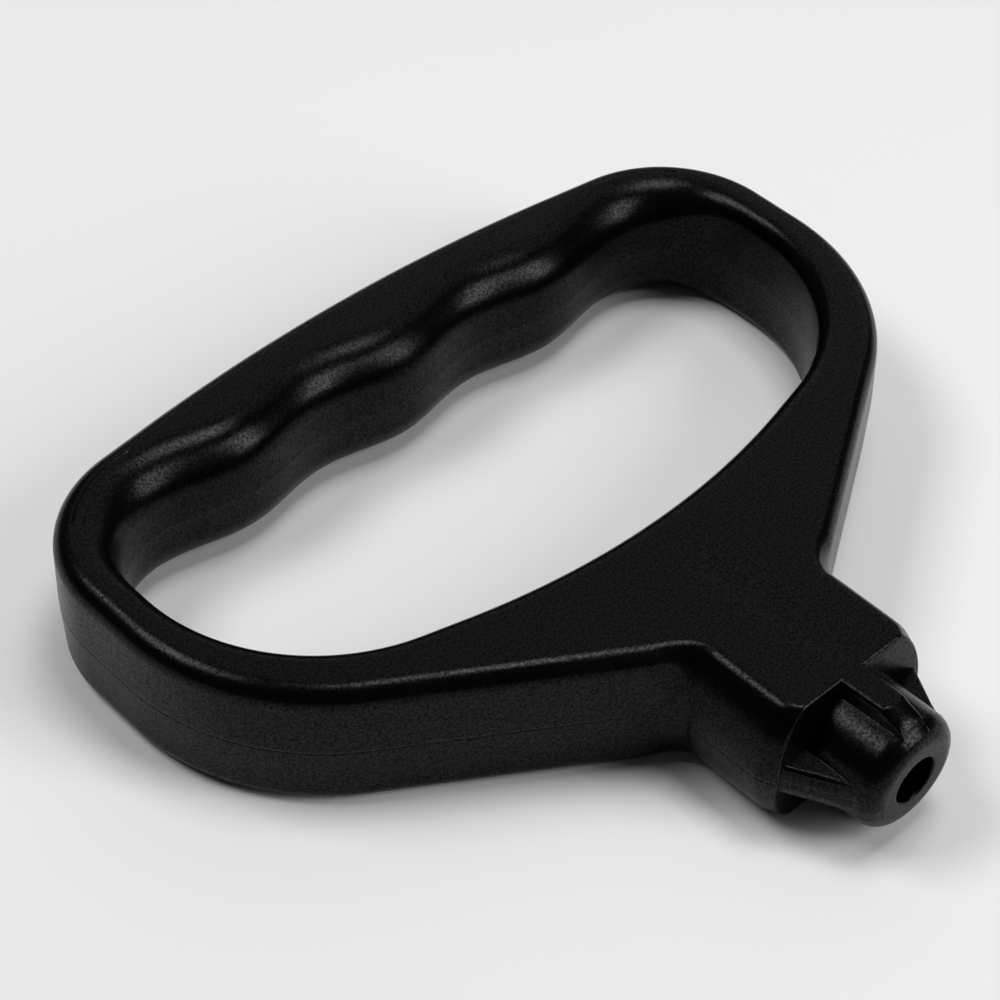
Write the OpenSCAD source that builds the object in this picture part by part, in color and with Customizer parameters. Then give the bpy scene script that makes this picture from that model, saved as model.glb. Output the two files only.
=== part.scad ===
// Pull-start handle: a flat hand loop with finger grooves, a round neck
// and a ribbed nose that carries the rope bore. It is moulded in one piece.
// The rope leaves the nose towards -Y, the palm edge is at +Y and the
// handle lies on its lower flat face at z = 0.

/* [Overall] */
// Width across the loop
overall_width = 111; // [100:0.5:130]
// Length from the tip of the nose to the palm edge
overall_length = 96.6; // [92:0.2:112]
// Thickness between the two flat faces
thickness = 18.3; // [16:0.1:21]

/* [Loop outline] */
// Radius of the crown along the palm edge
palm_radius = 241; // [160:1:500]
// Slope of the palm edge towards its corners, in degrees
palm_slope = 7.8; // [3:0.1:12]
// Corner radius beside the palm
palm_corner_radius = 17.5; // [10:0.5:22]
// Corner radius above the shoulders
shoulder_corner_radius = 30.5; // [18:0.5:36]
// Slope of the shoulders, in degrees
shoulder_slope = 32.4; // [28:0.1:36]
// Distance from the tip to where the shoulder lines would meet
shoulder_reach = 16.7; // [14:0.1:20]
// Radius where the shoulders run into the neck
junction_radius = 5; // [3:0.1:9]
// Radius of the rounded edges along both faces
edge_radius = 2.5; // [1.5:0.05:3.5]
// Lean of the side walls towards each face
wall_draft = 0.2; // [0:0.05:0.4]

/* [Hand opening] */
// Depth of the palm bar, from the palm edge to the middle of the finger waves
grip_depth = 12.45; // [9:0.05:14]
// Width of the two end bars
end_bar = 6.25; // [5:0.1:9]
// Length of the opening on the centre line, from the finger waves
opening_length = 41.7; // [38:0.1:44.5]
// Distance between two finger grooves
finger_pitch = 24.9; // [22:0.1:27]
// Height of the finger waves above and below their middle
finger_wave = 0.95; // [0.3:0.05:1.5]
// Number of finger grooves
finger_count = 4; // [4:1:4]
// Radius of the full rounding that the fingers lie on, along the grip's edges
grip_edge_radius = 5.7; // [2.6:0.1:7]
// Slope of the opening's near edge, in degrees
near_edge_slope = 14.5; // [10:0.1:18]
// Radius in the middle of the near edge
near_edge_radius = 101; // [60:1:140]
// Corner radius of the opening next to the nose
near_corner_radius = 25; // [14:0.5:28]
// Radius of the rounded edges in the rest of the opening
opening_edge_radius = 2.5; // [1.5:0.05:3.5]

/* [Neck and nose] */
// Radius of the round neck
neck_radius = 12.8; // [11:0.1:14]
// Distance from the tip to where the neck begins to taper
taper_reach = 12; // [10.5:0.1:14]
// Half angle of the taper that the neck's end and the upright ribs share, in degrees
taper_half_angle = 25.2; // [22:0.1:30]
// Radius of the round boss between the ribs
boss_radius = 7.4; // [6.5:0.05:9]
// Radius of the rounding around the tip
tip_rounding = 2.5; // [1:0.1:2.6]
// Thickness of the two upright ribs at the pockets' end wall
upright_rib = 4.3; // [3:0.1:5.5]
// Thickness of the two upright ribs at the tip
upright_rib_end = 3.4; // [0.6:0.1:4.2]
// Distance from the tip to where the upright ribs begin to drop to the boss
upright_rib_drop = 2; // [1.7:0.1:3]
// Angle of that drop against the rope's axis, in degrees
drop_angle = 55; // [45:1:70]
// Thickness of the two ribs that run sideways
side_rib = 4.4; // [3:0.1:7]
// Half angle of the taper of the side ribs, in degrees
side_half_angle = 28; // [24:0.1:32]
// Distance from the tip to where the side ribs run out on the boss
side_rib_runout = 2.7; // [2.5:0.1:4]
// Distance from the tip to the pockets' end wall, at the faces
pocket_reach = 10.4; // [8.5:0.1:12]
// Lean of the pockets' end wall
pocket_lean = 0.7; // [0:0.1:1.2]

/* [Rope passage] */
// Diameter of the rope bore
rope_bore = 6.1; // [4.5:0.1:7]
// Diameter of the pocket that holds the rope's knot
knot_pocket = 11; // [9:0.1:12.5]
// Depth of the knot pocket from the opening's near edge
knot_depth = 11; // [6:0.5:16]

/* [Hidden] */

// Fineness of the round stretches
palm_steps = 34;
corner_steps = 14;
shoulder_steps = 9;
straight_steps = 3;
junction_steps = 6;
end_steps = 4;
wave_steps = 72;
edge_steps = 5;
opening_edge_steps = 7;
wall_steps = 4;
tip_steps = 8;
round_steps = 96;

// The neck's last stretch belongs to the turned nose, which is a hair larger than the faceted loop
neck_seat = 0.02;
overlap = 1;

// The ribs' tapers run on this deep below the boss's surface
core_depth = 1;

half_width = overall_width / 2;
half_thick = thickness / 2;
palm_y = overall_length / 2;
tip_y = -overall_length / 2;
shoulder_y = tip_y + shoulder_reach;
neck_cut_y = tip_y + taper_reach + 2.5;
loop_neck_radius = neck_radius - neck_seat;

// Outer outline at mid height

// Point on an arc with the direction that points out of the material
function arc_station(cx, cy, r, a, side, share) =
    [cx + r * cos(a), cy + r * sin(a), side * cos(a), side * sin(a), share];

palm_corner_height = palm_y + palm_radius * (1 / cos(palm_slope) - 1);
palm_arc_y = palm_y - palm_radius;

corner_x = half_width - palm_corner_radius;
corner_y = palm_corner_height - (palm_corner_radius + corner_x * sin(palm_slope)) / cos(palm_slope);

hip_x = half_width - shoulder_corner_radius;
hip_y = shoulder_y + (hip_x * sin(shoulder_slope) + shoulder_corner_radius) / cos(shoulder_slope);

throat_x = loop_neck_radius + junction_radius;
throat_y = shoulder_y + (throat_x * sin(shoulder_slope) - junction_radius) / cos(shoulder_slope);

palm_end_x = palm_radius * sin(palm_slope);
slope_end_x = corner_x + palm_corner_radius * sin(palm_slope);

function palm_station(x) =
    abs(x) < palm_end_x
    ? arc_station(0, palm_arc_y, palm_radius, acos(x / palm_radius), 1, 0)
    : [x, palm_corner_height - x * tan(palm_slope), sin(palm_slope), cos(palm_slope), 0];

hip_end = arc_station(hip_x, hip_y, shoulder_corner_radius, shoulder_slope - 90, 1, 0);
throat_start = arc_station(throat_x, throat_y, junction_radius, 90 + shoulder_slope, -1, 0);

// Right half of the outline, from the middle of the palm to the neck
right_half = concat(
    [for (i = [1:palm_steps - 1]) palm_station(slope_end_x * i / palm_steps)],
    [for (i = [0:corner_steps])
        arc_station(corner_x, corner_y, palm_corner_radius, (90 - palm_slope) * (1 - i / corner_steps), 1, 0)],
    [for (i = [1:straight_steps - 1])
        [half_width, corner_y + (hip_y - corner_y) * i / straight_steps, 1, 0, 0]],
    [for (i = [0:shoulder_steps])
        arc_station(hip_x, hip_y, shoulder_corner_radius, (shoulder_slope - 90) * i / shoulder_steps, 1, 0)],
    [for (i = [1:straight_steps])
        let (t = i / (straight_steps + 1))
        [hip_end[0] + (throat_start[0] - hip_end[0]) * t, hip_end[1] + (throat_start[1] - hip_end[1]) * t,
         sin(shoulder_slope), -cos(shoulder_slope), 0]],
    [for (i = [0:junction_steps])
        let (t = i / junction_steps)
        arc_station(throat_x, throat_y, junction_radius, 90 + shoulder_slope + (90 - shoulder_slope) * t, -1, t)],
    [for (i = [1:2]) [loop_neck_radius, throat_y + (neck_cut_y - throat_y) * i / 2, 1, 0, 1]]
);
neck_end = [for (i = [1:end_steps - 1])
    let (t = 1 - 2 * i / end_steps) [loop_neck_radius * t, neck_cut_y, t, 0, 1]];

function mirrored(s) = [-s[0], s[1], -s[2], s[3], s[4]];
function reversed(list) = [for (i = [len(list) - 1:-1:0]) list[i]];

// Closed list of stations, clockwise from the middle of the palm
outer = concat([palm_station(0)], right_half, neck_end, reversed([for (s = right_half) mirrored(s)]));

// Outline of the hand opening

wave_y = palm_y - grip_depth;
near_y = wave_y - opening_length;
groove_y = wave_y + finger_wave;
finger_end_x = finger_pitch * (finger_count - 1) / 2;
opening_half = half_width - end_bar;
finger_corner_radius = opening_half - finger_end_x;
near_arc_y = near_y + near_edge_radius;
near_vertex_y = near_y - near_edge_radius * (1 / cos(near_edge_slope) - 1);
near_corner_x = opening_half - near_corner_radius;
near_corner_y = near_vertex_y
    + (near_corner_x * sin(near_edge_slope) + near_corner_radius) / cos(near_edge_slope);

function wave_height(x) = wave_y - finger_wave * cos(360 * x / finger_pitch);

// Right half of the opening, from the middle bump to the middle of the near edge
opening_half_line = concat(
    [for (i = [0:wave_steps / 2])
        let (x = finger_end_x * i / (wave_steps / 2)) [x, wave_height(x)]],
    [for (i = [1:corner_steps])
        let (a = 90 - 90 * i / corner_steps)
        [finger_end_x + finger_corner_radius * cos(a), groove_y - finger_corner_radius * (1 - sin(a))]],
    [for (i = [0:corner_steps])
        let (a = -(90 - near_edge_slope) * i / corner_steps)
        [near_corner_x + near_corner_radius * cos(a), near_corner_y + near_corner_radius * sin(a)]],
    [for (i = [0:shoulder_steps])
        let (a = -90 + near_edge_slope * (1 - i / shoulder_steps))
        [near_edge_radius * cos(a), near_arc_y + near_edge_radius * sin(a)]]
);

// The opening is read by its bearing from the hub, so that its stations face those of the outline
hub_y = (wave_y + near_y) / 2;
function bearing(p) = atan2(p[0], p[1] - hub_y);
bearing_to_reach = [for (p = opening_half_line) [bearing(p), norm([p[0], p[1] - hub_y])]];
function opening_point(a) =
    let (r = lookup(abs(a), bearing_to_reach)) [r * sin(a), hub_y + r * cos(a)];

// Share of the grip's larger rounding, 1 along the fingers and fading out round the end corners
function grip_share(p) =
    let (t = max(0, min(1, 1 + (p[1] - groove_y) / finger_corner_radius)))
    t > 0 && abs(p[0]) < finger_end_x ? 1 : t * t * (3 - 2 * t);

bearing_step = 0.4;
opening = [for (s = outer)
    let (
        a = bearing(s),
        p = opening_point(a),
        d = opening_point(a + bearing_step) - opening_point(a - bearing_step),
        u = d / norm(d)
    )
    [p[0], p[1], u[1], -u[0], grip_share(p)]
];

// Section of the loop

// Heights above mid height, up a wall in some steps and round its edge of radius r to the face
function section_heights(r, steps, turns) = concat(
    [for (i = [0:steps - 1]) (half_thick - r) * i / steps],
    [for (i = [0:turns]) half_thick - r + r * sin(90 * i / turns)]
);
function both_ways(heights) = concat([for (i = [len(heights) - 1:-1:1]) -heights[i]], heights);

function opening_edge(s) = opening_edge_radius + (grip_edge_radius - opening_edge_radius) * s[4];

outer_heights = both_ways(section_heights(edge_radius, wall_steps, edge_steps));
function opening_heights(s) = both_ways(section_heights(opening_edge(s), 1, opening_edge_steps));

// How far a wall with an edge of radius r is drawn in at a height
function edge_inset(h, r) =
    let (rise = max(0, abs(h) - half_thick + r) / r)
    wall_draft * min(1, abs(h) / (half_thick - r)) + r * (1 - sqrt(max(0, 1 - rise * rise)));
function neck_inset(h) = loop_neck_radius - sqrt(loop_neck_radius * loop_neck_radius - h * h);

function drawn_in(s, inset, h) = [s[0] - inset * s[2], s[1] - inset * s[3], half_thick + h];
function outer_point(s, h) =
    drawn_in(s, (1 - s[4]) * edge_inset(h, edge_radius) + s[4] * neck_inset(h), h);
function opening_wall_point(s, h) = drawn_in(s, edge_inset(h, opening_edge(s)), h);

station_count = len(outer);
section_count = len(outer_heights) + len(opening_heights(opening[0]));

// Every station carries one closed section: up the outer wall, over the face, down the opening's wall
loop_points = [for (i = [0:station_count - 1]) each concat(
    [for (h = outer_heights) outer_point(outer[i], h)],
    [for (h = reversed(opening_heights(opening[i]))) opening_wall_point(opening[i], h)]
)];
loop_faces = [for (i = [0:station_count - 1], j = [0:section_count - 1])
    let (
        ni = (i + 1) % station_count,
        nj = (j + 1) % section_count,
        a = i * section_count + j,
        b = ni * section_count + j,
        c = ni * section_count + nj,
        d = i * section_count + nj
    )
    each [[a, b, c], [a, c, d]]
];

module loop() {
    polyhedron(points = loop_points, faces = loop_faces, convexity = 6);
}

// Nose

// Turned solid about the rope's axis, from its half section measured from the tip
module turned(half_section) {
    translate([0, tip_y, half_thick])
        rotate([-90, 0, 0])
            rotate_extrude($fn = round_steps) polygon(half_section);
}

// The neck's end up to the pockets' leaning wall, and the two upright ribs
module wall_and_upright_ribs() {
    wide = neck_radius + overlap;
    face_y = tip_y + pocket_reach;
    back_y = neck_cut_y + overlap;
    translate([-wide, 0, 0])
        rotate([90, 0, 90])
            linear_extrude(2 * wide)
                polygon([
                    [face_y, 0],
                    [back_y, 0],
                    [back_y, thickness],
                    [face_y, thickness],
                    [face_y - pocket_lean, half_thick]
                ]);
    linear_extrude(thickness)
        polygon([
            [-upright_rib_end / 2, tip_y],
            [-upright_rib / 2, face_y],
            [-upright_rib / 2, back_y],
            [upright_rib / 2, back_y],
            [upright_rib / 2, face_y],
            [upright_rib_end / 2, tip_y]
        ]);
}

// The taper's last stretch drops through the boss's surface, so that the two cross cleanly
module tapered_end() {
    core_radius = boss_radius - core_depth;
    drop_radius = neck_radius - (taper_reach - upright_rib_drop) * tan(taper_half_angle);
    core_reach = upright_rib_drop - (drop_radius - core_radius) / tan(drop_angle);
    intersection() {
        turned([
            [0, core_reach],
            [core_radius, core_reach],
            [drop_radius, upright_rib_drop],
            [neck_radius, taper_reach],
            [neck_radius, neck_cut_y - tip_y],
            [0, neck_cut_y - tip_y]
        ]);
        wall_and_upright_ribs();
    }
}

// The side ribs have a steeper taper and begin inside the neck
module side_ribs() {
    core_radius = boss_radius - core_depth;
    core_reach = side_rib_runout - core_depth / tan(side_half_angle);
    root_reach = pocket_reach + overlap;
    root_radius = boss_radius + (root_reach - side_rib_runout) * tan(side_half_angle);
    intersection() {
        turned([
            [0, core_reach],
            [core_radius, core_reach],
            [root_radius, root_reach],
            [0, root_reach]
        ]);
        translate([-neck_radius, tip_y - neck_radius, half_thick - side_rib / 2])
            cube([2 * neck_radius, neck_radius + root_reach, side_rib]);
    }
}

module boss() {
    boss_length = pocket_reach + overlap;
    turned(concat(
        [[0, 0]],
        [for (i = [0:tip_steps])
            let (a = 90 * i / tip_steps)
            [boss_radius - tip_rounding * (1 - sin(a)), tip_rounding * (1 - cos(a))]],
        [[boss_radius, boss_length], [0, boss_length]]
    ));
}

// Rope bore from the tip, and the knot pocket that opens into the hand opening
module rope_passage() {
    translate([0, tip_y - overlap, half_thick])
        rotate([-90, 0, 0])
            cylinder(r = rope_bore / 2, h = near_y - tip_y + 2 * overlap, $fn = round_steps);
    translate([0, near_y - knot_depth, half_thick])
        rotate([-90, 0, 0])
            cylinder(r = knot_pocket / 2, h = knot_depth + 2 * overlap, $fn = round_steps);
}

module starter_handle() {
    color([0.09, 0.09, 0.09])
        difference() {
            union() {
                loop();
                tapered_end();
                side_ribs();
                boss();
            }
            rope_passage();
        }
}

starter_handle();
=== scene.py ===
"""Dresses the pull-start handle: one black moulding with a satin grain, on a pale studio floor.

The moulding is two closed shells that share one material, the loop with its neck and the ribbed
nose that grows out of it. Lengths inside the shape functions are millimetres in the row frame,
with h for the height above mid thickness.
"""

import math

import bpy
import numpy as np
from mathutils import Matrix, Vector


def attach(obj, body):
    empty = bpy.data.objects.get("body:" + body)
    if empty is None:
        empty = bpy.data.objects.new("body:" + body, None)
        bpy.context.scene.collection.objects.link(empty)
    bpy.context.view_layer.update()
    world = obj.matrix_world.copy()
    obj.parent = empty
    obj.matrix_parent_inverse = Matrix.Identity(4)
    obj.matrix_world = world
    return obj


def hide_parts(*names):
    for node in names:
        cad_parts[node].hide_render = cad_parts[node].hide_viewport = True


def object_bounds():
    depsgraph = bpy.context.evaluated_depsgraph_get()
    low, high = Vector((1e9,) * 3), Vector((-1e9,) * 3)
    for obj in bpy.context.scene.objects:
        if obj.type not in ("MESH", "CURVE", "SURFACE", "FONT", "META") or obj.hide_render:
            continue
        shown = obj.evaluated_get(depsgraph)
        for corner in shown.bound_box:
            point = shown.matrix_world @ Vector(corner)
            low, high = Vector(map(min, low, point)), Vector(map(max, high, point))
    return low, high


bl_info = {
    "name": "Pull-start handle",
    "version": (1, 0, 0),
    "blender": (4, 5, 0),
    "location": "3D View > Sidebar > Handle",
    "description": "Builds the moulded pull-start handle, its finish and its studio",
    "category": "Object",
}

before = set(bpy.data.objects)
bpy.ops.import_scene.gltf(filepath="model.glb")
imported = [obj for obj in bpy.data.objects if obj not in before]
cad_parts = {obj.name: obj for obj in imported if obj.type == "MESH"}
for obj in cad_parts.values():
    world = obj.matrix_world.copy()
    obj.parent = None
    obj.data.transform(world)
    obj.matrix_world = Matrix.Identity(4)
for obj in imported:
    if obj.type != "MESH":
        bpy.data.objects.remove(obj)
cad_box = [list(corner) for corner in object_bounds()]

MM = 0.001
QUARTER = math.pi / 2
NODE = "starter_handle"

# Overall sizes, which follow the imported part's box
WIDTH = (cad_box[1][0] - cad_box[0][0]) / MM
LENGTH = (cad_box[1][1] - cad_box[0][1]) / MM
THICKNESS = (cad_box[1][2] - cad_box[0][2]) / MM
HALF_WIDTH = WIDTH / 2
HALF_THICK = THICKNESS / 2
PALM_Y = LENGTH / 2
TIP_Y = -LENGTH / 2

# Loop outline
PALM_RADIUS = 241.0
PALM_SLOPE = math.radians(7.8)
PALM_CORNER = 17.5
HIP_RADIUS = 30.5
SHOULDER_SLOPE = math.radians(32.4)
SHOULDER_Y = TIP_Y + 16.7
THROAT_RADIUS = 5.0
EDGE_RADIUS = 2.5
WALL_DRAFT = 0.2

# Hand opening
GRIP_DEPTH = 12.45
END_BAR = 6.25
OPENING_LENGTH = 41.7
FINGER_PITCH = 24.9
FINGER_COUNT = 4
FINGER_WAVE = 0.95
GRIP_EDGE = 5.7
NEAR_SLOPE = math.radians(14.5)
NEAR_RADIUS = 101.0
NEAR_CORNER = 25.0
WAVE_Y = PALM_Y - GRIP_DEPTH
NEAR_Y = WAVE_Y - OPENING_LENGTH
HUB_Y = (WAVE_Y + NEAR_Y) / 2
OPENING_HALF = HALF_WIDTH - END_BAR
FINGER_END = FINGER_PITCH * (FINGER_COUNT - 1) / 2
FINGER_CORNER = OPENING_HALF - FINGER_END
GROOVE_Y = WAVE_Y + FINGER_WAVE

# Neck, with the crease between its cylinder and its cone rounded off
NECK_RADIUS = 12.8
CONE_Y = TIP_Y + 12.0
CONE_SLOPE = math.tan(math.radians(25.2))
CREASE_BLEND = 0.12
CREASE_LIFT = 0.042
CREASE_REACH = 0.5
POCKET_Y = TIP_Y + 10.4
POCKET_LEAN = 0.7

# Least square that a root is taken of where the flats no longer cut the neck's circle
LEAST_SQUARE = 0.01

# Nose
BOSS_RADIUS = 7.4
TIP_ROUNDING = 2.5
TIP_BORE = 6.0
UPRIGHT_RIB = 4.3
UPRIGHT_RIB_END = 3.4
DROP_Y = TIP_Y + 2.0
DROP_SLOPE = math.tan(math.radians(55))
DROP_BLEND = 0.15
DROP_END_Y = TIP_Y + 1
SIDE_RIB = 4.4
SIDE_SLOPE = math.tan(math.radians(28))
SIDE_RUNOUT_Y = TIP_Y + 2.7
UNDER_FLAT = 0.002

# Rows of the nose over the end wall's y: its hidden root, and closer rows where the wall leans
NOSE_ROOT = 1.0
ROOT_SHRINK = 0.93
ROOT_STEP = 0.55
WALL_ROWS_START = 0.5
WALL_ROWS_END = -0.75
RIB_ROWS_START = -0.9
TIP_GAP = 0.12

# Most of a rib's height that its edge and its root may take up
EDGE_SHARE = 0.5
ROOT_SHARE = 0.45

# Least width that a rib's edge and its root keep in the grid, where they fade out with the rib
SPREAD = 0.12

# Rope passage
BORE_RADIUS = 3.05
KNOT_RADIUS = 5.5
KNOT_DEPTH = 11.0
KNOT_CHAMFER = 0.3
END_RING_RADIUS = 5.0
BORE_LEAD = 0.02
BORE_LEAD_START = 0.5
BORE_LEAD_END = 1.4

# Window of the opening's wall that the knot pocket's mouth is fitted into
WINDOW_HALF = 7.2
WINDOW_RISE = 6.55

# Width of the parting line's groove, and the trough that the thick middle sank into the faces,
# whose ends are shares of its way from the opening to the nose
GROOVE_WIDTH = 0.11
SINK_MARGIN = 5.0
SINK_WIDTH = 2.6
SINK_CENTRE = 0.6
SINK_DRIFT = 3.4
SINK_TURN = 0.45
SINK_BEND = 1.5
SINK_START = -0.05
SINK_RISE = 0.35
SINK_END = 1.02
SINK_FALL = 0.25
SINK_SKIN = 1.0

# Counts of stations and rows
STATIONS = {"palm": 64, "slope": 8, "corner": 40, "side": 6, "hip": 52, "shoulder": 26, "throat": 26}
SAMPLES = {"wave": 600, "corner": 200, "side": 60, "near_corner": 300, "near_slope": 40, "near_edge": 200}
NECK_STATIONS = 20
CREASE_STATIONS = 8
CLOSING_STATIONS = 6
WALL_STATIONS = 6
END_COLUMNS = 27
END_ROUND_RINGS = 4
END_WALL_RINGS = 8
MOUTH_WALL_RINGS = 6
SMALL_ROUND_STEPS = 5
FACE_ROWS = 18
CREST_POINTS = 4
ROOT_POINTS = 6
BETWEEN_POINTS = 12
NOSE_WALL_ROWS = 8
NOSE_RIB_ROWS = 36
TIP_ROWS = 18
OUTER_EDGE_STEPS = 16
OPENING_EDGE_STEPS = 20
OUTER_WALL_HEIGHTS = (0, 0.09, 0.18, 0.3, 0.8, 1.6, 2.5, 3.4, 4.3, 5.2, 6.0)
OPENING_WALL_HEIGHTS = (0, 0.09, 0.18, 0.3, 1.0, 2.2, 3.4, 4.6, 5.7)

# Share of the neck's length in which its last stations close up before the crease, and how much
CLOSING_SHARE = 0.04
CLOSING_RATIO = 0.02

# Rounds and step of the fit that lines the opening's wall up with the outer one
FIT_ROUNDS = 8
BEARING_STEP = 0.004

# Camera: its bearing round the handle, height and roll in degrees, its place in metres
CAMERA_AZIMUTH = -43.958
CAMERA_ELEVATION = 43.913
CAMERA_ROLL = 1.423
CAMERA_DISTANCE = 0.316979
CAMERA_ACROSS = 0.000994
CAMERA_UP = 0.007724
AIM_Y = 0.017055

# The photograph's frame in pixels, with the lens's length and centre there
IMAGE_SIZE = 1000
FOCAL_PIXELS = 2538.281
CENTRE_X = 516.458
CENTRE_Y = 460.924
SENSOR = 36

# Plastic: how the coarse noise mottles the roughness, and how the grain varies the reflection's
# strength and the colour, each as a span of the noise and what it is mapped onto
PATCH_SCALE = 90.0
PATCH_DETAIL = 3.0
PATCH_SPAN = (0.3, 0.7)
ROUGHNESS_CHANGE = 0.04
GRAIN_ROUGHNESS = 0.6
PIT_SPAN = (0.35, 0.65)
PIT_CHANGE = 0.65
TINT_SPAN = (0.35, 0.75)
TINT_TONES = (0.8, 1.3)

# Soft lights: bearing to the right of the camera's view and height over the floor in degrees,
# distance from the handle in metres, and the panel's width and height in metres
LIGHTS = {
    "key": (52, 80, 0.8, (0.28, 0.26)),
    "left": (-82, 57, 0.8, (0.36, 0.28)),
    "right": (108, 31, 0.8, (0.30, 0.55)),
    "back": (10, 40, 1.0, (1.3, 0.9)),
}
WORLD_STRENGTH = 0.04

# Floor: half its side and how far it lies under the handle in metres, its cells to a side,
# and its finish
FLOOR_HALF = 3.0
FLOOR_DROP = 0.00002
FLOOR_CELLS = 8
FLOOR_ROUGHNESS = 0.9
FLOOR_PATCH_SCALE = 12.0
FLOOR_TONES = (0.985, 1)


def detail(name):
    """One of the moulding's small details from the panel, in millimetres."""
    return getattr(bpy.context.scene.handle_details, name) / MM


def steps(a, b, n):
    """n values from a to b, without b."""
    return np.linspace(a, b, n, endpoint=False)


def shares(n):
    """n values from 1/n to 1."""
    return np.linspace(0, 1, n + 1)[1:]


def between(n):
    """n values between 0 and 1, without both ends."""
    return np.linspace(0, 1, n + 2)[1:-1]


def quarter_turn(n):
    """n + 1 angles from 0 to a quarter turn."""
    return np.linspace(0, QUARTER, n + 1)


def arc(cx, cy, r, a0, a1, n, side=1.0):
    """Stations on a circle of radius r round (cx, cy) from angle a0 to a1.

    A station is its place, its outward direction and its share in the neck, which starts at zero.
    """
    a = steps(a0, a1, n)
    c, s = np.cos(a), np.sin(a)
    return np.column_stack([cx + r * c, cy + r * s, side * c, side * s, np.zeros(n)])


def straight(p, q, normal, n):
    """Stations on the line from p to q, all with one outward direction."""
    t = steps(0, 1, n)[:, None]
    xy = np.asarray(p) * (1 - t) + np.asarray(q) * t
    return np.column_stack([xy, np.tile(normal, (n, 1)), np.zeros(n)])


def smooth(t):
    """The cubic 3t2 - 2t3 on 0..1, level at both ends."""
    t = np.clip(t, 0, 1)
    return t * t * (3 - 2 * t)


def lesser(a, b, blend):
    """The lesser of a and b, with the crease where they cross rounded off by a hyperbola."""
    return (a + b) / 2 - np.sqrt(((a - b) / 2) ** 2 + blend ** 2)


def neck_radius(y):
    """The neck's radius along the rope axis: a cylinder that runs into a cone."""
    cone = NECK_RADIUS - CONE_SLOPE * (CONE_Y - y)
    return lesser(NECK_RADIUS, cone, CREASE_BLEND) + CREASE_LIFT


def wall_y(h):
    """The pockets' end wall, which leans forward from each face towards mid height."""
    return POCKET_Y - POCKET_LEAN * (1 - np.abs(h) / HALF_THICK)


def neck_half(h, radius):
    """Half width of the neck's section at height h: a circle cut by the two flats, that edge rounded."""
    edge = detail("neck_edge")
    core = radius - edge
    rise = HALF_THICK - edge
    centre = np.sqrt(np.maximum(core ** 2 - rise ** 2, LEAST_SQUARE))
    touch = rise * radius / core
    round_part = np.sqrt(np.maximum(radius ** 2 - h ** 2, 0))
    edge_part = centre + np.sqrt(np.maximum(edge ** 2 - np.maximum(np.abs(h) - rise, 0) ** 2, 0))
    return np.where(np.abs(h) < touch, round_part, edge_part)


def outline():
    """Right half of the plan outline, from the middle of the palm to the neck, and where the neck begins.

    Arcs for the palm, its corner, the hip and the throat are joined by the straight lines that
    touch them. In the throat a station's share in the neck grows from 0 to 1.
    """
    top = PALM_Y + PALM_RADIUS * (1 / math.cos(PALM_SLOPE) - 1)
    cx = HALF_WIDTH - PALM_CORNER
    cy = top - (PALM_CORNER + cx * math.sin(PALM_SLOPE)) / math.cos(PALM_SLOPE)
    hx = HALF_WIDTH - HIP_RADIUS
    hy = SHOULDER_Y + (hx * math.sin(SHOULDER_SLOPE) + HIP_RADIUS) / math.cos(SHOULDER_SLOPE)
    tx = NECK_RADIUS + THROAT_RADIUS
    ty = SHOULDER_Y + (tx * math.sin(SHOULDER_SLOPE) - THROAT_RADIUS) / math.cos(SHOULDER_SLOPE)
    palm = np.array([math.sin(PALM_SLOPE), math.cos(PALM_SLOPE)])
    shoulder = np.array([math.sin(SHOULDER_SLOPE), -math.cos(SHOULDER_SLOPE)])
    crown_end = np.array([0, PALM_Y - PALM_RADIUS]) + PALM_RADIUS * palm
    corner_start = np.array([cx, cy]) + PALM_CORNER * palm
    hip_end = np.array([hx, hy]) + HIP_RADIUS * shoulder
    throat_start = np.array([tx, ty]) - THROAT_RADIUS * shoulder
    throat = arc(tx, ty, THROAT_RADIUS, QUARTER + SHOULDER_SLOPE, math.pi, STATIONS["throat"], side=-1.0)
    throat[:, 4] = smooth(steps(0, 1, STATIONS["throat"]))
    return np.vstack([
        arc(0, PALM_Y - PALM_RADIUS, PALM_RADIUS, QUARTER, QUARTER - PALM_SLOPE, STATIONS["palm"]),
        straight(crown_end, corner_start, palm, STATIONS["slope"]),
        arc(cx, cy, PALM_CORNER, QUARTER - PALM_SLOPE, 0, STATIONS["corner"]),
        straight([HALF_WIDTH, cy], [HALF_WIDTH, hy], [1, 0], STATIONS["side"]),
        arc(hx, hy, HIP_RADIUS, 0, SHOULDER_SLOPE - QUARTER, STATIONS["hip"]),
        straight(hip_end, throat_start, shoulder, STATIONS["shoulder"]),
        throat,
    ]), ty


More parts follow.
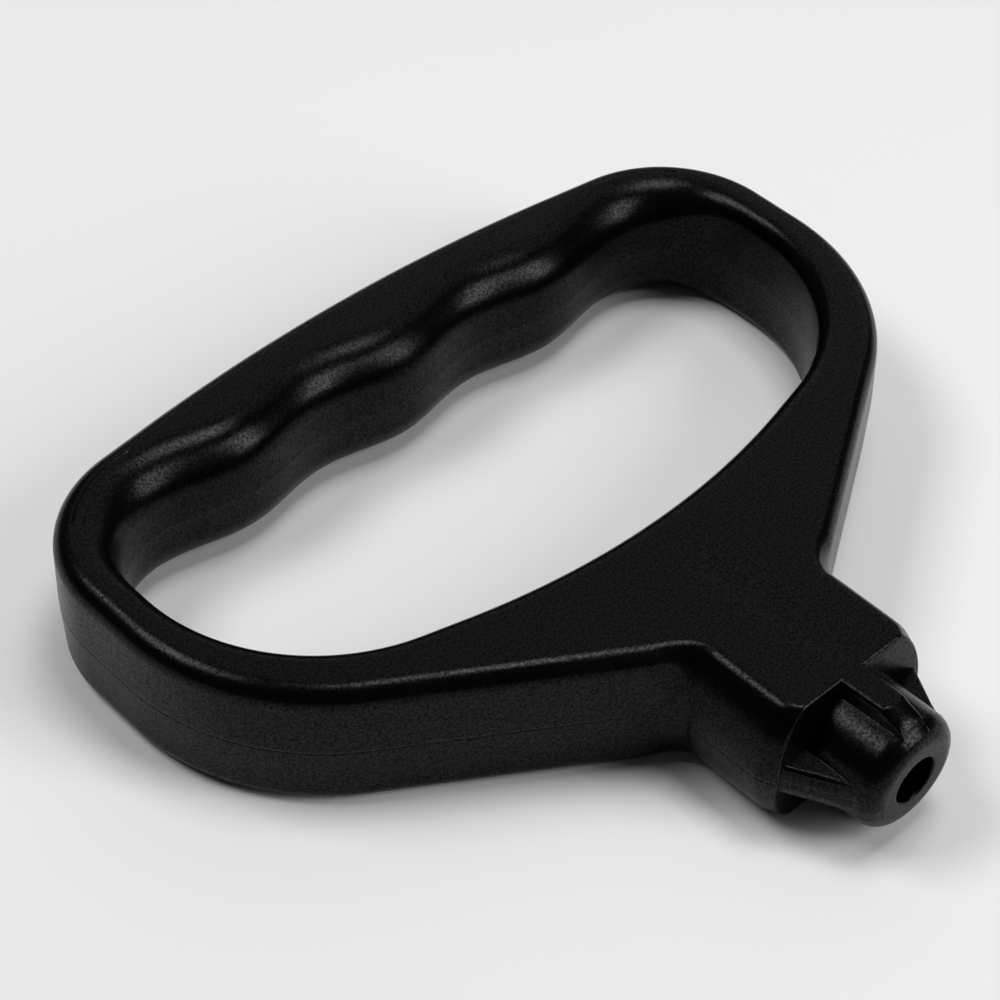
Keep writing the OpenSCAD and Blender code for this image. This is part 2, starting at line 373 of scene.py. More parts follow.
def opening_reach(bearing):
    """Distance from the hub to the hand opening's wall at a bearing from the palm.

    It is read from the opening's outline: a cosine wave along the fingers, a round corner, the side,
    the near corner's arc, a sloping line and the near edge's arc.
    """
    nx = OPENING_HALF - NEAR_CORNER
    vertex = NEAR_Y - NEAR_RADIUS * (1 / math.cos(NEAR_SLOPE) - 1)
    ny = vertex + (nx * math.sin(NEAR_SLOPE) + NEAR_CORNER) / math.cos(NEAR_SLOPE)
    corner_y = GROOVE_Y - FINGER_CORNER
    slope = np.array([math.sin(NEAR_SLOPE), -math.cos(NEAR_SLOPE)])
    slope_start = np.array([nx, ny]) + NEAR_CORNER * slope
    slope_end = np.array([0, NEAR_Y + NEAR_RADIUS]) + NEAR_RADIUS * slope
    x = np.linspace(0, FINGER_END, SAMPLES["wave"])
    wave = np.column_stack([x, WAVE_Y - FINGER_WAVE * np.cos(2 * math.pi * x / FINGER_PITCH)])
    rest = np.vstack([
        arc(FINGER_END, corner_y, FINGER_CORNER, QUARTER, 0, SAMPLES["corner"]),
        straight([OPENING_HALF, corner_y], [OPENING_HALF, ny], [-1, 0], SAMPLES["side"]),
        arc(nx, ny, NEAR_CORNER, 0, NEAR_SLOPE - QUARTER, SAMPLES["near_corner"]),
        straight(slope_start, slope_end, -slope, SAMPLES["near_slope"]),
        arc(0, NEAR_Y + NEAR_RADIUS, NEAR_RADIUS, NEAR_SLOPE - QUARTER, -QUARTER, SAMPLES["near_edge"]),
    ])
    line = np.vstack([wave, rest[:, :2], [[0, NEAR_Y]]])
    b = np.arctan2(line[:, 0], line[:, 1] - HUB_Y)
    return np.interp(np.abs(bearing), b, np.hypot(line[:, 0], line[:, 1] - HUB_Y))


def opening_point(bearing):
    """Point of the opening's plan outline at a bearing."""
    r = opening_reach(bearing)
    return np.column_stack([r * np.sin(bearing), HUB_Y + r * np.cos(bearing)])


def outer_heights():
    """Heights up the outer wall from the lower face to the upper one, by equal angles over the edges."""
    angle = quarter_turn(OUTER_EDGE_STEPS)
    up = np.concatenate([OUTER_WALL_HEIGHTS, HALF_THICK - EDGE_RADIUS + EDGE_RADIUS * np.sin(angle)])
    return np.concatenate([-up[::-1], up[1:]])


def edge_inset(h, r):
    """How far a wall is drawn in at height h: a slight draft, then a quarter round of radius r."""
    rise = np.clip((np.abs(h) - HALF_THICK + r) / r, 0, 1)
    return WALL_DRAFT * np.minimum(1, np.abs(h) / (HALF_THICK - r)) + r * (1 - np.sqrt(1 - rise ** 2))


def opening_edge(p):
    """Radius of the opening's rounded edge at plan points, as a column.

    It is the grip's along the fingers, and round the two end corners it fades to the loop's own.
    """
    t = np.clip(1 + (p[:, 1:] - GROOVE_Y) / FINGER_CORNER, 0, 1)
    share = np.where((t > 0) & (np.abs(p[:, :1]) < FINGER_END), 1, smooth(t))
    return EDGE_RADIUS + (GRIP_EDGE - EDGE_RADIUS) * share


def opening_section(r):
    """Heights down the opening's wall, and how far it is drawn in there, for a column of edge radii."""
    up = np.array(OPENING_WALL_HEIGHTS) / (HALF_THICK - EDGE_RADIUS)
    a = quarter_turn(OPENING_EDGE_STEPS)
    height = np.hstack([(HALF_THICK - r) * up, HALF_THICK - r * (1 - np.sin(a))])
    inset = np.hstack([WALL_DRAFT * up + 0 * r, WALL_DRAFT + r * (1 - np.cos(a))])
    return np.hstack([height[:, ::-1], -height[:, 1:]]), np.hstack([inset[:, ::-1], inset[:, 1:]])


def ring_quads(a, b):
    """Quads between two closed rings of vertex numbers, taken in order."""
    return np.column_stack([a, np.roll(a, -1), np.roll(b, -1), b])


def grid_quads(rows, columns):
    """Quads of a grid closed both ways, from vertex number row * columns + column."""
    i, j = np.meshgrid(np.arange(rows), np.arange(columns), indexing="ij")
    ni, nj = (i + 1) % rows, (j + 1) % columns
    return np.stack([i * columns + j, i * columns + nj, ni * columns + nj, ni * columns + j], -1)


def rim(number, i0, i1, j0, j1):
    """Vertex numbers round a rectangle of the grid, once round from its first corner."""
    return np.concatenate([number[i0, j0:j1 + 1], number[i0 + 1:i1, j1],
                           number[i1, j0:j1 + 1][::-1], number[i0 + 1:i1, j0][::-1]])


def unrolled(ring, angle):
    """A closed ring started at its highest angle, with the first vertex repeated one turn on."""
    k = int(np.argmax(angle))
    ring, angle = np.roll(ring, -k), np.roll(angle, -k)
    return np.append(ring, ring[0]), np.append(angle, angle[0] - 2 * math.pi)


def stitched(a, angle_a, b, angle_b):
    """Triangles between two closed rings of unlike counts, both in order of falling angle."""
    a, angle_a = unrolled(a, angle_a)
    b, angle_b = unrolled(b, angle_b)
    at_b = np.searchsorted(-angle_b, -angle_a[1:], side="right") - 1
    at_a = np.searchsorted(-angle_a, -angle_b[1:], side="left") - 1
    at_b = np.clip(at_b, 0, len(b) - 1)
    at_a = np.clip(at_a, 0, len(a) - 1)
    first = np.column_stack([a[:-1], a[1:], b[at_b]])
    second = np.column_stack([a[at_a], b[1:], b[:-1]])
    return np.vstack([first, second])


def ring_points(xh, y):
    """A ring's points from its places across and up, and its place or places along the axis."""
    return np.column_stack([xh[:, 0], np.broadcast_to(y, len(xh)), xh[:, 1]])


def extended(points, loop, rings):
    """A mesh's points with rings hung on one of its loops, the quads between, and the last ring."""
    n = len(loop)
    loops = [loop] + [len(points) + k * n + np.arange(n) for k in range(len(rings))]
    quads = [ring_quads(a, b) for a, b in zip(loops, loops[1:])]
    return np.vstack([points] + rings), quads, loops[-1]


def sink(x, y):
    """Depth of the shallow trough in the faces, from the opening's near edge to the nose.

    Across it is a bell curve. Its middle drifts sideways as it nears the nose, and a smooth step
    fades it in and out at its ends.
    """
    along = (NEAR_Y - SINK_MARGIN - y) / (NEAR_Y - POCKET_Y - SINK_MARGIN)
    centre = SINK_CENTRE + SINK_DRIFT * np.clip(along - SINK_TURN, 0, 1) ** SINK_BEND
    fade = smooth((along - SINK_START) / SINK_RISE) * smooth((SINK_END - along) / SINK_FALL)
    return detail("sink_depth") * fade * np.exp(-((x - centre) / SINK_WIDTH) ** 2)


def parting_groove(h):
    """Depth of the parting line's groove at height h, a narrow bell curve round mid thickness."""
    return detail("parting_depth") * np.exp(-(h / GROOVE_WIDTH) ** 2)


def outer_wall(heights):
    """The outer wall round the plan at all heights, and its last station before and first after the end.

    A station of the loop is drawn in along its outward direction by the edge's inset. In the throat
    that goes over to the neck's section. In the neck a point lies on the circle of the neck's
    radius there, cut by the flats. The last stations run up to the leaning end wall, and the left
    side is the right one mirrored.
    """
    half, neck_y = outline()
    crease_start, crease_end = CONE_Y + CREASE_REACH, CONE_Y - CREASE_REACH
    closing = CLOSING_SHARE * np.geomspace(1, CLOSING_RATIO, CLOSING_STATIONS)
    t = np.concatenate([steps(0, 1, NECK_STATIONS), 1 - closing])
    crease = crease_start + (crease_end - crease_start) * shares(CREASE_STATIONS)
    places = np.concatenate([neck_y + (crease_start - neck_y) * t, crease])
    last = shares(WALL_STATIONS)
    neck = np.tile([NECK_RADIUS, 0, 1, 0, 1], (len(places) + len(last), 1))
    right = np.vstack([half, neck])
    n_half, n_right = len(half), len(right)

    h = heights[None, :]
    share = right[:, 4:5]
    inset = (1 - share) * edge_inset(h, EDGE_RADIUS) + share * (NECK_RADIUS - neck_half(h, NECK_RADIUS))
    start = np.concatenate([np.zeros(n_half), places, np.full(len(last), crease_end)])[:, None]
    to_wall = np.concatenate([np.zeros(n_half + len(places)), last])[:, None]
    along = start + to_wall * (wall_y(h) + detail("wall_edge") - start)
    in_neck = np.arange(n_right)[:, None] >= n_half
    x = np.where(in_neck, neck_half(h, neck_radius(along)), right[:, 0:1] - inset * right[:, 2:3])
    y = np.where(in_neck, along, right[:, 1:2] - inset * right[:, 3:4])
    groove = parting_groove(h)
    side = np.stack([x - groove * right[:, 2:3], y - groove * right[:, 3:4]], -1)

    end_x = 1 - 2 * between(END_COLUMNS)
    ends = np.repeat(side[-1:], END_COLUMNS, axis=0)
    ends[:, :, 0] *= end_x[:, None]
    plan = np.concatenate([side, ends, side[:0:-1] * [-1, 1]])
    return plan, n_right - 1, n_right + END_COLUMNS


def opening_wall(target):
    """The opening's wall for the bearings of the outer one: its points, their heights and its outline.

    Each station moves round the outline until the upper end of its rounded edge has the bearing
    wanted, so that the rows of the faces run straight out from the hub.
    """
    bearing = target
    for _ in range(FIT_ROUNDS):
        p = opening_point(bearing)
        d = opening_point(bearing + BEARING_STEP) - opening_point(bearing - BEARING_STEP)
        u = d / np.linalg.norm(d, axis=1, keepdims=True)
        into = np.column_stack([-u[:, 1], u[:, 0]])
        down, inset = opening_section(opening_edge(p))
        top = p + inset[:, :1] * into
        miss = target - np.arctan2(top[:, 0], top[:, 1] - HUB_Y)
        bearing = bearing + (miss + math.pi) % (2 * math.pi) - math.pi
    return p[:, None, :] + inset[:, :, None] * into[:, None, :], down, p


def end_wall_rings(e):
    """Rings from the neck's end at points e to the bottom of the knot pocket, and their angles.

    A quarter round turns in from the neck, rings on the leaning wall shrink to a circle, and
    circles of the bore's radius follow.
    """
    wall_edge = detail("wall_edge")
    q = np.roll(e, -1, axis=0) - np.roll(e, 1, axis=0)
    inward = np.column_stack([-q[:, 2], q[:, 0]])
    inward /= np.linalg.norm(inward, axis=1, keepdims=True)
    rings = []
    for a in QUARTER * shares(END_ROUND_RINGS):
        xh = e[:, [0, 2]] + inward * wall_edge * (1 - math.cos(a))
        rings.append(ring_points(xh, wall_y(e[:, 2]) + wall_edge * (1 - math.sin(a))))
    edge = rings[-1][:, [0, 2]]
    angle = np.arctan2(edge[:, 1], edge[:, 0])
    circle = np.column_stack([np.cos(angle), np.sin(angle)])
    for k in shares(END_WALL_RINGS):
        xh = edge * (1 - k) + END_RING_RADIUS * circle * k
        rings.append(ring_points(xh, wall_y(xh[:, 1])))
    rings.append(ring_points((BORE_RADIUS + BORE_LEAD) * circle, POCKET_Y + BORE_LEAD_START))
    rings.append(ring_points(BORE_RADIUS * circle, POCKET_Y + BORE_LEAD_END))
    rings.append(ring_points(BORE_RADIUS * circle, NEAR_Y - KNOT_DEPTH))
    return rings, angle


def near_wall_y(xh):
    """The opening's near wall at places across and up: the near edge's circle, drawn in by the draft."""
    r = NEAR_RADIUS + WALL_DRAFT * np.minimum(1, np.abs(xh[:, 1]) / (HALF_THICK - EDGE_RADIUS))
    return NEAR_Y + NEAR_RADIUS - np.sqrt(r ** 2 - xh[:, 0] ** 2)


def knot_pocket_rings(e):
    """Rings from the wall's window at points e to the knot pocket's floor, and their angles.

    Rings on the wall shrink to a circle, a quarter round breaks the pocket's edge, and a small
    chamfer meets its floor.
    """
    knot_edge = detail("knot_edge")
    angle = np.unwrap(np.arctan2(e[:, 2], e[:, 0]))
    circle = np.column_stack([np.cos(angle), np.sin(angle)])
    rings = []
    for k in shares(MOUTH_WALL_RINGS):
        xh = e[:, [0, 2]] * (1 - k) + (KNOT_RADIUS + knot_edge) * circle * k
        rings.append(ring_points(xh, near_wall_y(xh)))
    for a in QUARTER * shares(SMALL_ROUND_STEPS):
        xh = (KNOT_RADIUS + knot_edge * (1 - math.sin(a))) * circle
        rings.append(ring_points(xh, near_wall_y(xh) - knot_edge * (1 - math.cos(a))))
    floor_y = NEAR_Y - KNOT_DEPTH
    rings.append(ring_points(KNOT_RADIUS * circle, floor_y + KNOT_CHAMFER))
    rings.append(ring_points((KNOT_RADIUS - KNOT_CHAMFER) * circle, floor_y))
    return rings, angle


def loop_shell():
    """The loop and its neck as one closed grid: round the plan by round the section.

    Each plan station carries a section: up the outer wall, over the face, down the opening's wall
    and back under. Two holes in the grid are filled with rings, the neck's end wall and the knot
    pocket's mouth, and a ring of triangles on the pocket's floor joins them as the rope passage.
    """
    heights = outer_heights()
    plan, first_end, last_end = outer_wall(heights)
    inner, down, p = opening_wall(np.arctan2(plan[:, -1, 0], plan[:, -1, 1] - HUB_Y))

    # Faces between the two walls
    s = between(FACE_ROWS)[None, :, None]
    upper = plan[:, -1:] * (1 - s) + inner[:, :1] * s
    lower = inner[:, -1:] * (1 - s) + plan[:, :1] * s
    section = np.concatenate([plan, upper, inner, lower], axis=1)
    level = np.full((len(plan), FACE_ROWS), HALF_THICK)
    height = np.hstack([np.tile(heights, (len(plan), 1)), level, down, -level])
    points = np.dstack([section, height]).reshape(-1, 3)

    # Quads, but for the two holes
    n_lev = len(heights)
    keep = np.ones(height.shape, bool)
    keep[first_end:last_end, :n_lev - 1] = False
    near = np.where((np.abs(p[:, 0]) <= WINDOW_HALF) & (p[:, 1] < HUB_Y))[0]
    i0, i1 = near[0], near[-1]
    ja, jb = (n_lev + FACE_ROWS + int(np.argmin(np.abs(down[i0] - rise)))
              for rise in (WINDOW_RISE, -WINDOW_RISE))
    keep[i0:i1, ja:jb] = False
    number = np.arange(height.size).reshape(height.shape)
    end_loop = rim(number, first_end, last_end, 0, n_lev - 1)
    mouth_loop = rim(number, i0, i1, ja, jb)

    # Rings of the end wall and the bore, and of the knot pocket
    rings, front_angle = end_wall_rings(points[end_loop])
    points, front_quads, front_last = extended(points, end_loop, rings)
    rings, pocket_angle = knot_pocket_rings(points[mouth_loop])
    points, pocket_quads, pocket_last = extended(points, mouth_loop, rings)
    quads = np.vstack([grid_quads(*height.shape)[keep]] + front_quads + pocket_quads)
    floor = stitched(pocket_last, pocket_angle, front_last[::-1], np.unwrap(front_angle[::-1]))

    # The trough fades out down the rounded edges
    z = points[:, 2]
    skin = smooth((np.abs(z) - HALF_THICK + SINK_SKIN) / SINK_SKIN)
    points[:, 2] = z - np.sign(z) * sink(points[:, 0], points[:, 1]) * skin
    return points, [quads, floor]


def rib_section(half, reach, cone, edge, boss):
    """Half of a rib's section at each place: points across it and out along it, from middle to foot.

    Its crest lies at the reach, but never outside the circle of the cone's radius. A quarter round
    turns it down into the rib's side, and a concave round joins the side to the boss's circle.
    """
    half, reach, cone, boss = (v[:, None] for v in (half, reach, cone, boss))
    side = np.sqrt(np.maximum(boss ** 2 - half ** 2, 0))
    top = np.minimum(reach, np.sqrt(np.maximum(cone ** 2 - half ** 2, 0)))
    room = np.maximum(top - side, 0)
    e = np.minimum(edge, EDGE_SHARE * room)
    f = np.minimum(detail("rib_root"), ROOT_SHARE * room)
    e_wide, f_wide = np.maximum(e, SPREAD), np.maximum(f, SPREAD)
    centre = np.sqrt(np.maximum((boss + f) ** 2 - (half + f) ** 2, 0))
    crest = steps(0, 1, CREST_POINTS) * (half - e_wide)
    crest_out = np.minimum(reach, np.sqrt(np.maximum(cone ** 2 - crest ** 2, 0)))
    a = quarter_turn(SMALL_ROUND_STEPS)
    b = math.pi + shares(ROOT_POINTS) * np.arctan2(centre, half + f)
    across = np.hstack([crest, half - e_wide + e_wide * np.sin(a), half + f_wide + f_wide * np.cos(b)])
    along = np.hstack([crest_out, top - e + e * np.cos(a), centre + f * np.sin(b)])
    return across, np.maximum(along, np.sqrt(np.maximum(boss ** 2 - across ** 2, 0)))


def quadrant(half_up, tall, wide, boss):
    """Quarter of the nose's section, from the top of the upright rib to the outside of the side rib.

    tall and wide are the ribs' reach along their own middles, half_up half the upright rib's
    thickness and boss the radius between the ribs, each one a list over the places along the axis.
    """
    flat = np.minimum(tall, HALF_THICK - UNDER_FLAT)
    x1, h1 = rib_section(half_up, flat, tall, detail("upright_rib_edge"), boss)
    h2, x2 = rib_section(np.full_like(boss, SIDE_RIB / 2), wide, wide, detail("side_rib_edge"), boss)
    k = between(BETWEEN_POINTS)
    a = np.arctan2(x1[:, -1:], h1[:, -1:]) * (1 - k) + np.arctan2(x2[:, -1:], h2[:, -1:]) * k
    x = np.hstack([x1, boss[:, None] * np.sin(a), x2[:, ::-1]])
    h = np.hstack([h1, boss[:, None] * np.cos(a), h2[:, ::-1]])
    return x, h


def nose_shell():
    """The ribbed nose as one closed grid: along the rope's axis by round the section.

    Its section at a place along the axis is the boss's circle with four ribs. The upright ribs'
    crests lie on the neck's taper, cut by the two flats, and drop to the boss near the tip. The side
    ribs have a steeper taper of their own. The grid turns in at the tip as the bore and closes
    inside the neck.
    """
    mouth_edge = detail("mouth_edge")
    root_y = POCKET_Y + NOSE_ROOT
    a = quarter_turn(TIP_ROWS)
    tip_y = TIP_Y + TIP_ROUNDING * (1 - np.sin(a))
    tip_r = BOSS_RADIUS - TIP_ROUNDING * (1 - np.cos(a))
    places = np.concatenate([
        [root_y, POCKET_Y + ROOT_STEP],
        np.linspace(POCKET_Y + WALL_ROWS_START, POCKET_Y + WALL_ROWS_END, NOSE_WALL_ROWS),
        np.linspace(POCKET_Y + RIB_ROWS_START, TIP_Y + TIP_ROUNDING + TIP_GAP, NOSE_RIB_ROWS),
        tip_y])
    boss = np.concatenate([np.full(len(places) - len(tip_r), BOSS_RADIUS), tip_r])
    drop = neck_radius(DROP_Y) - DROP_SLOPE * (DROP_Y - places)
    tall = np.maximum(lesser(neck_radius(places), drop, DROP_BLEND), boss)
    tall = np.where(places > DROP_END_Y, tall, boss)
    wide = np.where(places > SIDE_RUNOUT_Y, BOSS_RADIUS + SIDE_SLOPE * (places - SIDE_RUNOUT_Y), boss)
    along = np.clip((POCKET_Y - places) / (POCKET_Y - TIP_Y), 0, 1)
    half_up = (UPRIGHT_RIB + (UPRIGHT_RIB_END - UPRIGHT_RIB) * along) / 2
    x, h = quadrant(half_up, tall, wide, boss)

    # The ring inside the neck is a little smaller, so that it stays out of sight
    x[0] *= ROOT_SHRINK
    h[0] *= ROOT_SHRINK
    x = x * (1 - parting_groove(h) / np.hypot(x, h))

    loop_x = np.concatenate([x, x[:, -2::-1], -x[:, 1:], -x[:, -2:0:-1]], 1)
    loop_h = np.concatenate([h, -h[:, -2::-1], -h[:, 1:], h[:, -2:0:-1]], 1)
    outside = np.stack([loop_x, np.broadcast_to(places[:, None], loop_x.shape), loop_h], -1)

    # The tip's flat ring, the broken edge of the bore's mouth, and the bore
    b = QUARTER * shares(SMALL_ROUND_STEPS)
    flat_start, flat_end = BOSS_RADIUS - TIP_ROUNDING, BORE_RADIUS + mouth_edge
    flat_r = flat_start + (flat_end - flat_start) * shares(SMALL_ROUND_STEPS)
    ring_r = np.concatenate([
        flat_r, BORE_RADIUS + mouth_edge * (1 - np.sin(b)), [BORE_RADIUS, BORE_RADIUS]])
    ring_y = np.concatenate([
        np.full(len(flat_r), TIP_Y), TIP_Y + mouth_edge * (1 - np.cos(b)), [TIP_Y + TIP_BORE, root_y]])
    r, y = ring_r[:, None], ring_y[:, None]
    angle = np.arctan2(loop_x[-1], loop_h[-1])
    inside = np.stack([r * np.sin(angle), y + 0 * angle, r * np.cos(angle)], -1)
    grid = np.concatenate([outside, inside])
    return grid.reshape(-1, 3), [grid_quads(*grid.shape[:2]).reshape(-1, 4)]


def make_piece(name, points, faces, material):
    """A mesh object at the origin from points in millimetres about mid thickness, smooth all over."""
    verts = (points + [0, 0, HALF_THICK]) * MM
    used = np.unique(np.concatenate([f.ravel() for f in faces]))
    renumber = np.zeros(len(verts), np.int64)
    renumber[used] = np.arange(len(used))
    mesh = bpy.data.meshes.new(name)
    sides = np.concatenate([np.full(len(f), f.shape[1]) for f in faces])
    corners = np.concatenate([renumber[f].ravel() for f in faces])
    mesh.vertices.add(len(used))
    mesh.vertices.foreach_set("co", verts[used].ravel())
    mesh.loops.add(len(corners))
    mesh.loops.foreach_set("vertex_index", corners)
    mesh.polygons.add(len(sides))
    mesh.polygons.foreach_set("loop_start", np.concatenate([[0], np.cumsum(sides)[:-1]]))
    mesh.polygons.foreach_set("loop_total", sides)
    mesh.polygons.foreach_set("use_smooth", np.ones(len(sides), bool))
    mesh.update()
    mesh.validate()
    mesh.materials.append(material)
    piece = bpy.data.objects.new(name, mesh)
    bpy.context.scene.collection.objects.link(piece)
    return piece


def noise(tree, place, scale, octaves=2.0, roughness=0.5):
    """A noise on a piece's own coordinates, with so many features to a metre."""
    node = tree.nodes.new("ShaderNodeTexNoise")
    node.inputs["Scale"].default_value = scale
    node.inputs["Detail"].default_value = octaves
    node.inputs["Roughness"].default_value = roughness
    tree.links.new(place.outputs["Object"], node.inputs["Vector"])
    return node.outputs["Fac"]


def remapped(tree, value, span, least, most):
    """Maps a span of a noise onto least..most, in a straight line with both ends held."""
    node = tree.nodes.new("ShaderNodeMapRange")
    limits = {"From Min": span[0], "From Max": span[1], "To Min": least, "To Max": most}
    for name, limit in limits.items():
        node.inputs[name].default_value = limit
    tree.links.new(value, node.inputs["Value"])
    return node.outputs["Result"]


def two_tones(tree, value, colour, span, tones):
    """A colour that goes from one tone of itself to another over a span of a noise."""
    node = tree.nodes.new("ShaderNodeValToRGB")
    for element, position, tone in zip(node.color_ramp.elements, span, tones):
        element.position = position
        element.color = [c * tone for c in colour[:3]] + [1]
    tree.links.new(value, node.inputs["Fac"])
    return node.outputs["Color"]


def satin_plastic():
    """Black moulded plastic.

    One fine noise is the grain: it turns the light a little, varies the strength of the reflection,
    as shallow pits do, and greys the colour faintly. A coarse noise mottles the roughness.
    """
    name = "satin_black_plastic"
    if name in bpy.data.materials:
        return bpy.data.materials[name]
    finish = bpy.context.scene.handle_finish
    material = bpy.data.materials.new(name)
    material.use_nodes = True
    tree = material.node_tree
    shader = tree.nodes["Principled BSDF"]
    place = tree.nodes.new("ShaderNodeTexCoord")
    grain = noise(tree, place, 1 / finish.grain_size, roughness=GRAIN_ROUGHNESS)
    patches = noise(tree, place, PATCH_SCALE, octaves=PATCH_DETAIL)
    rough = remapped(tree, patches, PATCH_SPAN,
                     finish.roughness - ROUGHNESS_CHANGE, finish.roughness + ROUGHNESS_CHANGE)
    pits = remapped(tree, grain, PIT_SPAN,
                    finish.specular * (1 - PIT_CHANGE), finish.specular * (1 + PIT_CHANGE))
    tint = two_tones(tree, grain, finish.colour, TINT_SPAN, TINT_TONES)
    bump = tree.nodes.new("ShaderNodeBump")
    bump.inputs["Strength"].default_value = finish.grain_strength
    bump.inputs["Distance"].default_value = finish.grain_depth
    tree.links.new(grain, bump.inputs["Height"])
    tree.links.new(rough, shader.inputs["Roughness"])
    tree.links.new(pits, shader.inputs["Specular IOR Level"])
    tree.links.new(tint, shader.inputs["Base Color"])
    tree.links.new(bump.outputs["Normal"], shader.inputs["Normal"])
    return material


def floor_material(colour):
    """A matt floor with a slight unevenness of its own colour."""
    material = bpy.data.materials.new("pale_floor")
    material.use_nodes = True
    tree = material.node_tree
    shader = tree.nodes["Principled BSDF"]
    shader.inputs["Roughness"].default_value = FLOOR_ROUGHNESS
    patches = noise(tree, tree.nodes.new("ShaderNodeTexCoord"), FLOOR_PATCH_SCALE)
    tone = two_tones(tree, patches, colour, (0, 1), FLOOR_TONES)
    tree.links.new(tone, shader.inputs["Base Color"])
    return material


def length(name, description, default, most=0.004):
    """A length setting in metres, for a panel."""
    return bpy.props.FloatProperty(
        name=name, description=description, unit="LENGTH", precision=5,
        min=0.00001, max=most, default=default)


def power(name, description, default):
    """A lamp's power in watts, for a panel."""
    return bpy.props.FloatProperty(name=name, description=description, unit="POWER", min=0, default=default)


def factor(name, description, default):
    """A setting between 0 and 1, for a panel."""
    return bpy.props.FloatProperty(
        name=name, description=description, subtype="FACTOR", min=0, max=1, default=default)


def colour_setting(name, description, default):
    """A colour, for a panel."""
    return bpy.props.FloatVectorProperty(
        name=name, description=description, subtype="COLOR", size=4, min=0, max=1, default=default)


class HandleDetails(bpy.types.PropertyGroup):
    """Small rounds and moulding marks, which the solid leaves out"""

    neck_edge: length("Neck edge", "Radius between the round neck and its flats", 0.002)
    wall_edge: length("Pocket edge", "Radius of the pockets' upper edges at the end wall", 0.00042, 0.001)
    upright_rib_edge: length("Upright rib edge", "Radius of the upright ribs' edges", 0.00085, 0.0015)
    side_rib_edge: length("Side rib edge", "Radius of the side ribs' edges", 0.00065, 0.0015)
    rib_root: length("Rib root", "Radius of the hollow round at the ribs' feet", 0.0004, 0.001)
    mouth_edge: length("Bore edge", "Radius of the broken edge at the rope bore's mouth", 0.00025, 0.001)
    knot_edge: length("Knot pocket edge", "Radius of the broken edge of the knot pocket", 0.0004, 0.001)
    parting_depth: length("Parting line", "Depth of the parting line's groove", 0.00006, 0.0003)
    sink_depth: length("Sink mark", "Depth of the trough in the faces over the thick neck", 0.00026, 0.001)


class HandleFinish(bpy.types.PropertyGroup):
    """Colour and grain of the moulded plastic"""

    colour: colour_setting("Colour", "Colour of the plastic", (0.0008, 0.0008, 0.00085, 1))
    specular: factor("Specular", "Strength of the surface's reflection", 0.1)
    roughness: factor("Roughness", "Roughness of the satin surface", 0.25)
    grain_size: length("Grain size", "Width of one grain of the surface", 0.0003)
    grain_depth: length("Grain depth", "Depth of the surface's grain", 0.000015)
    grain_strength: factor("Grain strength", "How strongly the grain turns the light", 1.0)


class HandleStudio(bpy.types.PropertyGroup):
    """Floor and lights"""

    floor_colour: colour_setting("Floor colour", "Colour of the floor", (0.8, 0.8, 0.8, 1))
    key_power: power("Key light", "Power of the soft light over the handle", 2.2)
    left_power: power("Left light", "Power of the soft light to the left of the camera", 2.65)
    right_power: power("Right light", "Power of the tall soft light to the right of the camera", 3.8)
    back_power: power("Back light", "Power of the large dim light beyond the handle", 1.9)


class HANDLE_OT_loop(bpy.types.Operator):
    """Build the loop and its round neck"""

    bl_idname = "handle.loop"
    bl_label = "Loop and neck"

    def execute(self, context):
        points, faces = loop_shell()
        piece = make_piece("loop_and_neck", points, faces, satin_plastic())
        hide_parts(NODE)
        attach(piece, "root")
        return {"FINISHED"}


class HANDLE_OT_nose(bpy.types.Operator):
    """Build the ribbed nose with the rope bore"""

    bl_idname = "handle.nose"
    bl_label = "Ribbed nose"

    def execute(self, context):
        points, faces = nose_shell()
        piece = make_piece("ribbed_nose", points, faces, satin_plastic())
        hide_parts(NODE)
        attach(piece, "root")
        return {"FINISHED"}


def pale_floor(colour):
    """A level square of cells, just under the handle."""
    n = FLOOR_CELLS + 1
    side = np.linspace(-FLOOR_HALF, FLOOR_HALF, n)
    x, y = np.meshgrid(side, side, indexing="ij")
    points = np.column_stack([x.ravel(), y.ravel(), np.full(x.size, -FLOOR_DROP)])
    i, j = np.meshgrid(np.arange(FLOOR_CELLS), np.arange(FLOOR_CELLS), indexing="ij")
    first = (i * n + j).ravel()
    quads = np.column_stack([first, first + n, first + n + 1, first + 1])
    mesh = bpy.data.meshes.new("floor")
    mesh.from_pydata(points.tolist(), [], quads.tolist())
    mesh.materials.append(floor_material(colour))
    floor = bpy.data.objects.new("floor", mesh)
    bpy.context.scene.collection.objects.link(floor)


def soft_light(name, bearing, height, distance, size, watts):
    """A soft light that faces the handle, at a bearing from the camera's view and a height in degrees."""
    turn, lift = math.radians(bearing - CAMERA_AZIMUTH), math.radians(height)
    outward = Vector((
        math.sin(turn) * math.cos(lift),
        math.cos(turn) * math.cos(lift),
        math.sin(lift)))
    data = bpy.data.lights.new(name, "AREA")
    data.shape = "RECTANGLE"
    data.size, data.size_y = size
    data.energy = watts
    light = bpy.data.objects.new(name, data)
    bpy.context.scene.collection.objects.link(light)
    light.location = outward * distance
    light.rotation_mode = "QUATERNION"
    light.rotation_quaternion = (-outward).to_track_quat("-Z", "Y")


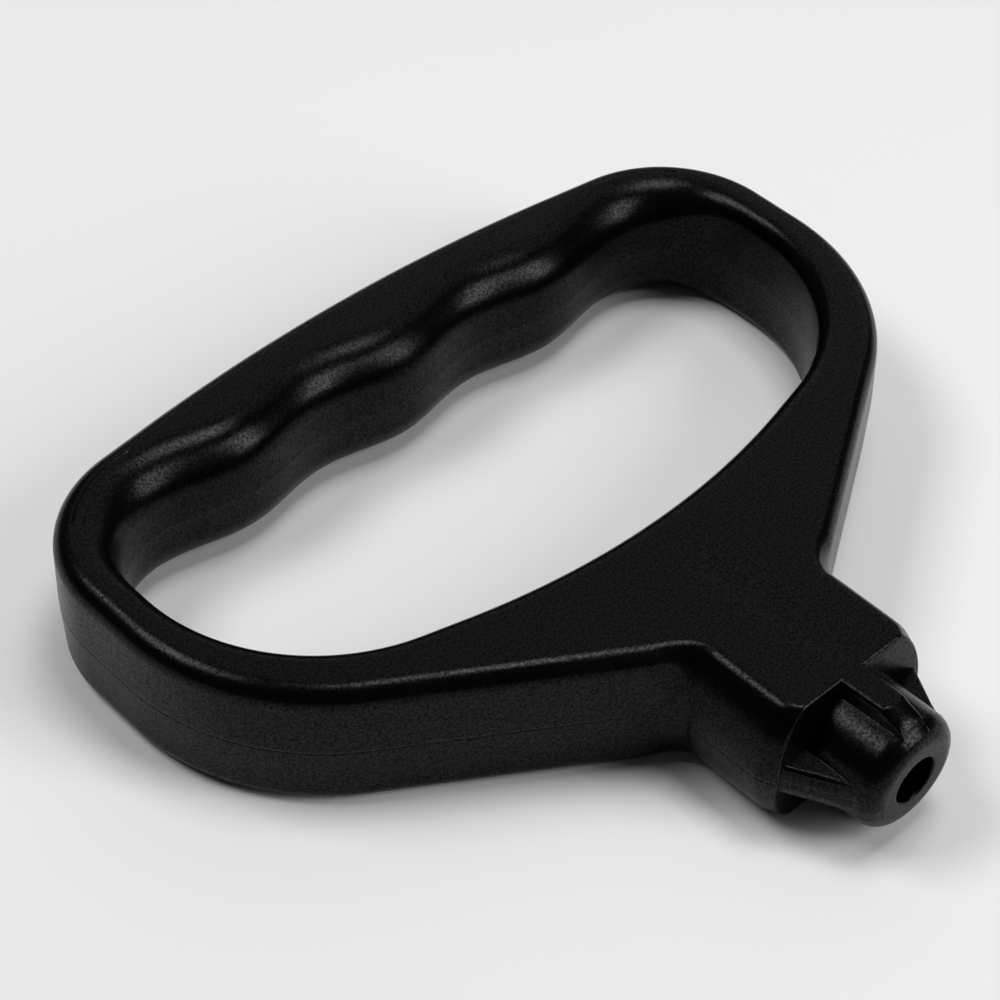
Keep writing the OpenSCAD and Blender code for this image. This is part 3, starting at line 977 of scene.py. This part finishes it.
def photo_camera():
    """The camera at the photograph's angle, turned by its roll, with a small shift of the frame."""
    azimuth, elevation, roll = (
        math.radians(angle) for angle in (CAMERA_AZIMUTH, CAMERA_ELEVATION, CAMERA_ROLL))
    back = Vector((
        math.sin(azimuth) * math.cos(elevation),
        -math.cos(azimuth) * math.cos(elevation),
        math.sin(elevation)))
    right = Vector((math.cos(azimuth), math.sin(azimuth), 0))
    up = back.cross(right)
    aim = Vector((0, AIM_Y, 0))
    place = back * CAMERA_DISTANCE + right * CAMERA_ACROSS + up * CAMERA_UP + aim
    turned_right = right * math.cos(roll) + up * math.sin(roll)
    turned_up = up * math.cos(roll) - right * math.sin(roll)
    data = bpy.data.cameras.new("camera")
    data.sensor_width = SENSOR
    data.lens = FOCAL_PIXELS * SENSOR / IMAGE_SIZE
    data.shift_x = (IMAGE_SIZE / 2 - CENTRE_X) / IMAGE_SIZE
    data.shift_y = (CENTRE_Y - IMAGE_SIZE / 2) / IMAGE_SIZE
    data.clip_start, data.clip_end = 0.01, 20
    camera = bpy.data.objects.new("camera", data)
    bpy.context.scene.collection.objects.link(camera)
    turn = Matrix((turned_right, turned_up, back)).transposed()
    camera.matrix_world = Matrix.Translation(place) @ turn.to_4x4()
    bpy.context.scene.camera = camera


class HANDLE_OT_studio(bpy.types.Operator):
    """Set up the pale floor, the soft lights and the camera"""

    bl_idname = "handle.studio"
    bl_label = "Studio"

    def execute(self, context):
        studio = context.scene.handle_studio
        pale_floor(studio.floor_colour)
        world = bpy.data.worlds.new("studio")
        context.scene.world = world
        world.use_nodes = True
        background = world.node_tree.nodes["Background"]
        background.inputs["Color"].default_value = (1, 1, 1, 1)
        background.inputs["Strength"].default_value = WORLD_STRENGTH
        for name, placing in LIGHTS.items():
            soft_light(f"{name}_light", *placing, getattr(studio, f"{name}_power"))
        context.scene.view_settings.view_transform = "Standard"
        photo_camera()
        return {"FINISHED"}


class HANDLE_PT_panel(bpy.types.Panel):
    """Sizes, finish and steps of the handle"""

    bl_label = "Pull-start handle"
    bl_idname = "HANDLE_PT_panel"
    bl_space_type = "VIEW_3D"
    bl_region_type = "UI"
    bl_category = "Handle"

    def draw(self, context):
        column = self.layout.column()
        for settings, group in SETTINGS.items():
            for name in group.__annotations__:
                column.prop(getattr(context.scene, settings), name)
        for operator in (HANDLE_OT_loop, HANDLE_OT_nose, HANDLE_OT_studio):
            column.operator(operator.bl_idname)


SETTINGS = {
    "handle_details": HandleDetails,
    "handle_finish": HandleFinish,
    "handle_studio": HandleStudio,
}
CLASSES = (*SETTINGS.values(), HANDLE_OT_loop, HANDLE_OT_nose, HANDLE_OT_studio, HANDLE_PT_panel)


def register():
    """Registers the classes and hangs the settings on the scene."""
    for item in CLASSES:
        bpy.utils.register_class(item)
    for name, group in SETTINGS.items():
        setattr(bpy.types.Scene, name, bpy.props.PointerProperty(type=group))


def unregister():
    """Takes the settings and the classes away again."""
    for name in SETTINGS:
        delattr(bpy.types.Scene, name)
    for item in reversed(CLASSES):
        bpy.utils.unregister_class(item)


def main():
    """Builds everything in order."""
    register()
    bpy.ops.handle.loop()
    bpy.ops.handle.nose()
    bpy.ops.handle.studio()


if __name__ == "__main__":
    main()
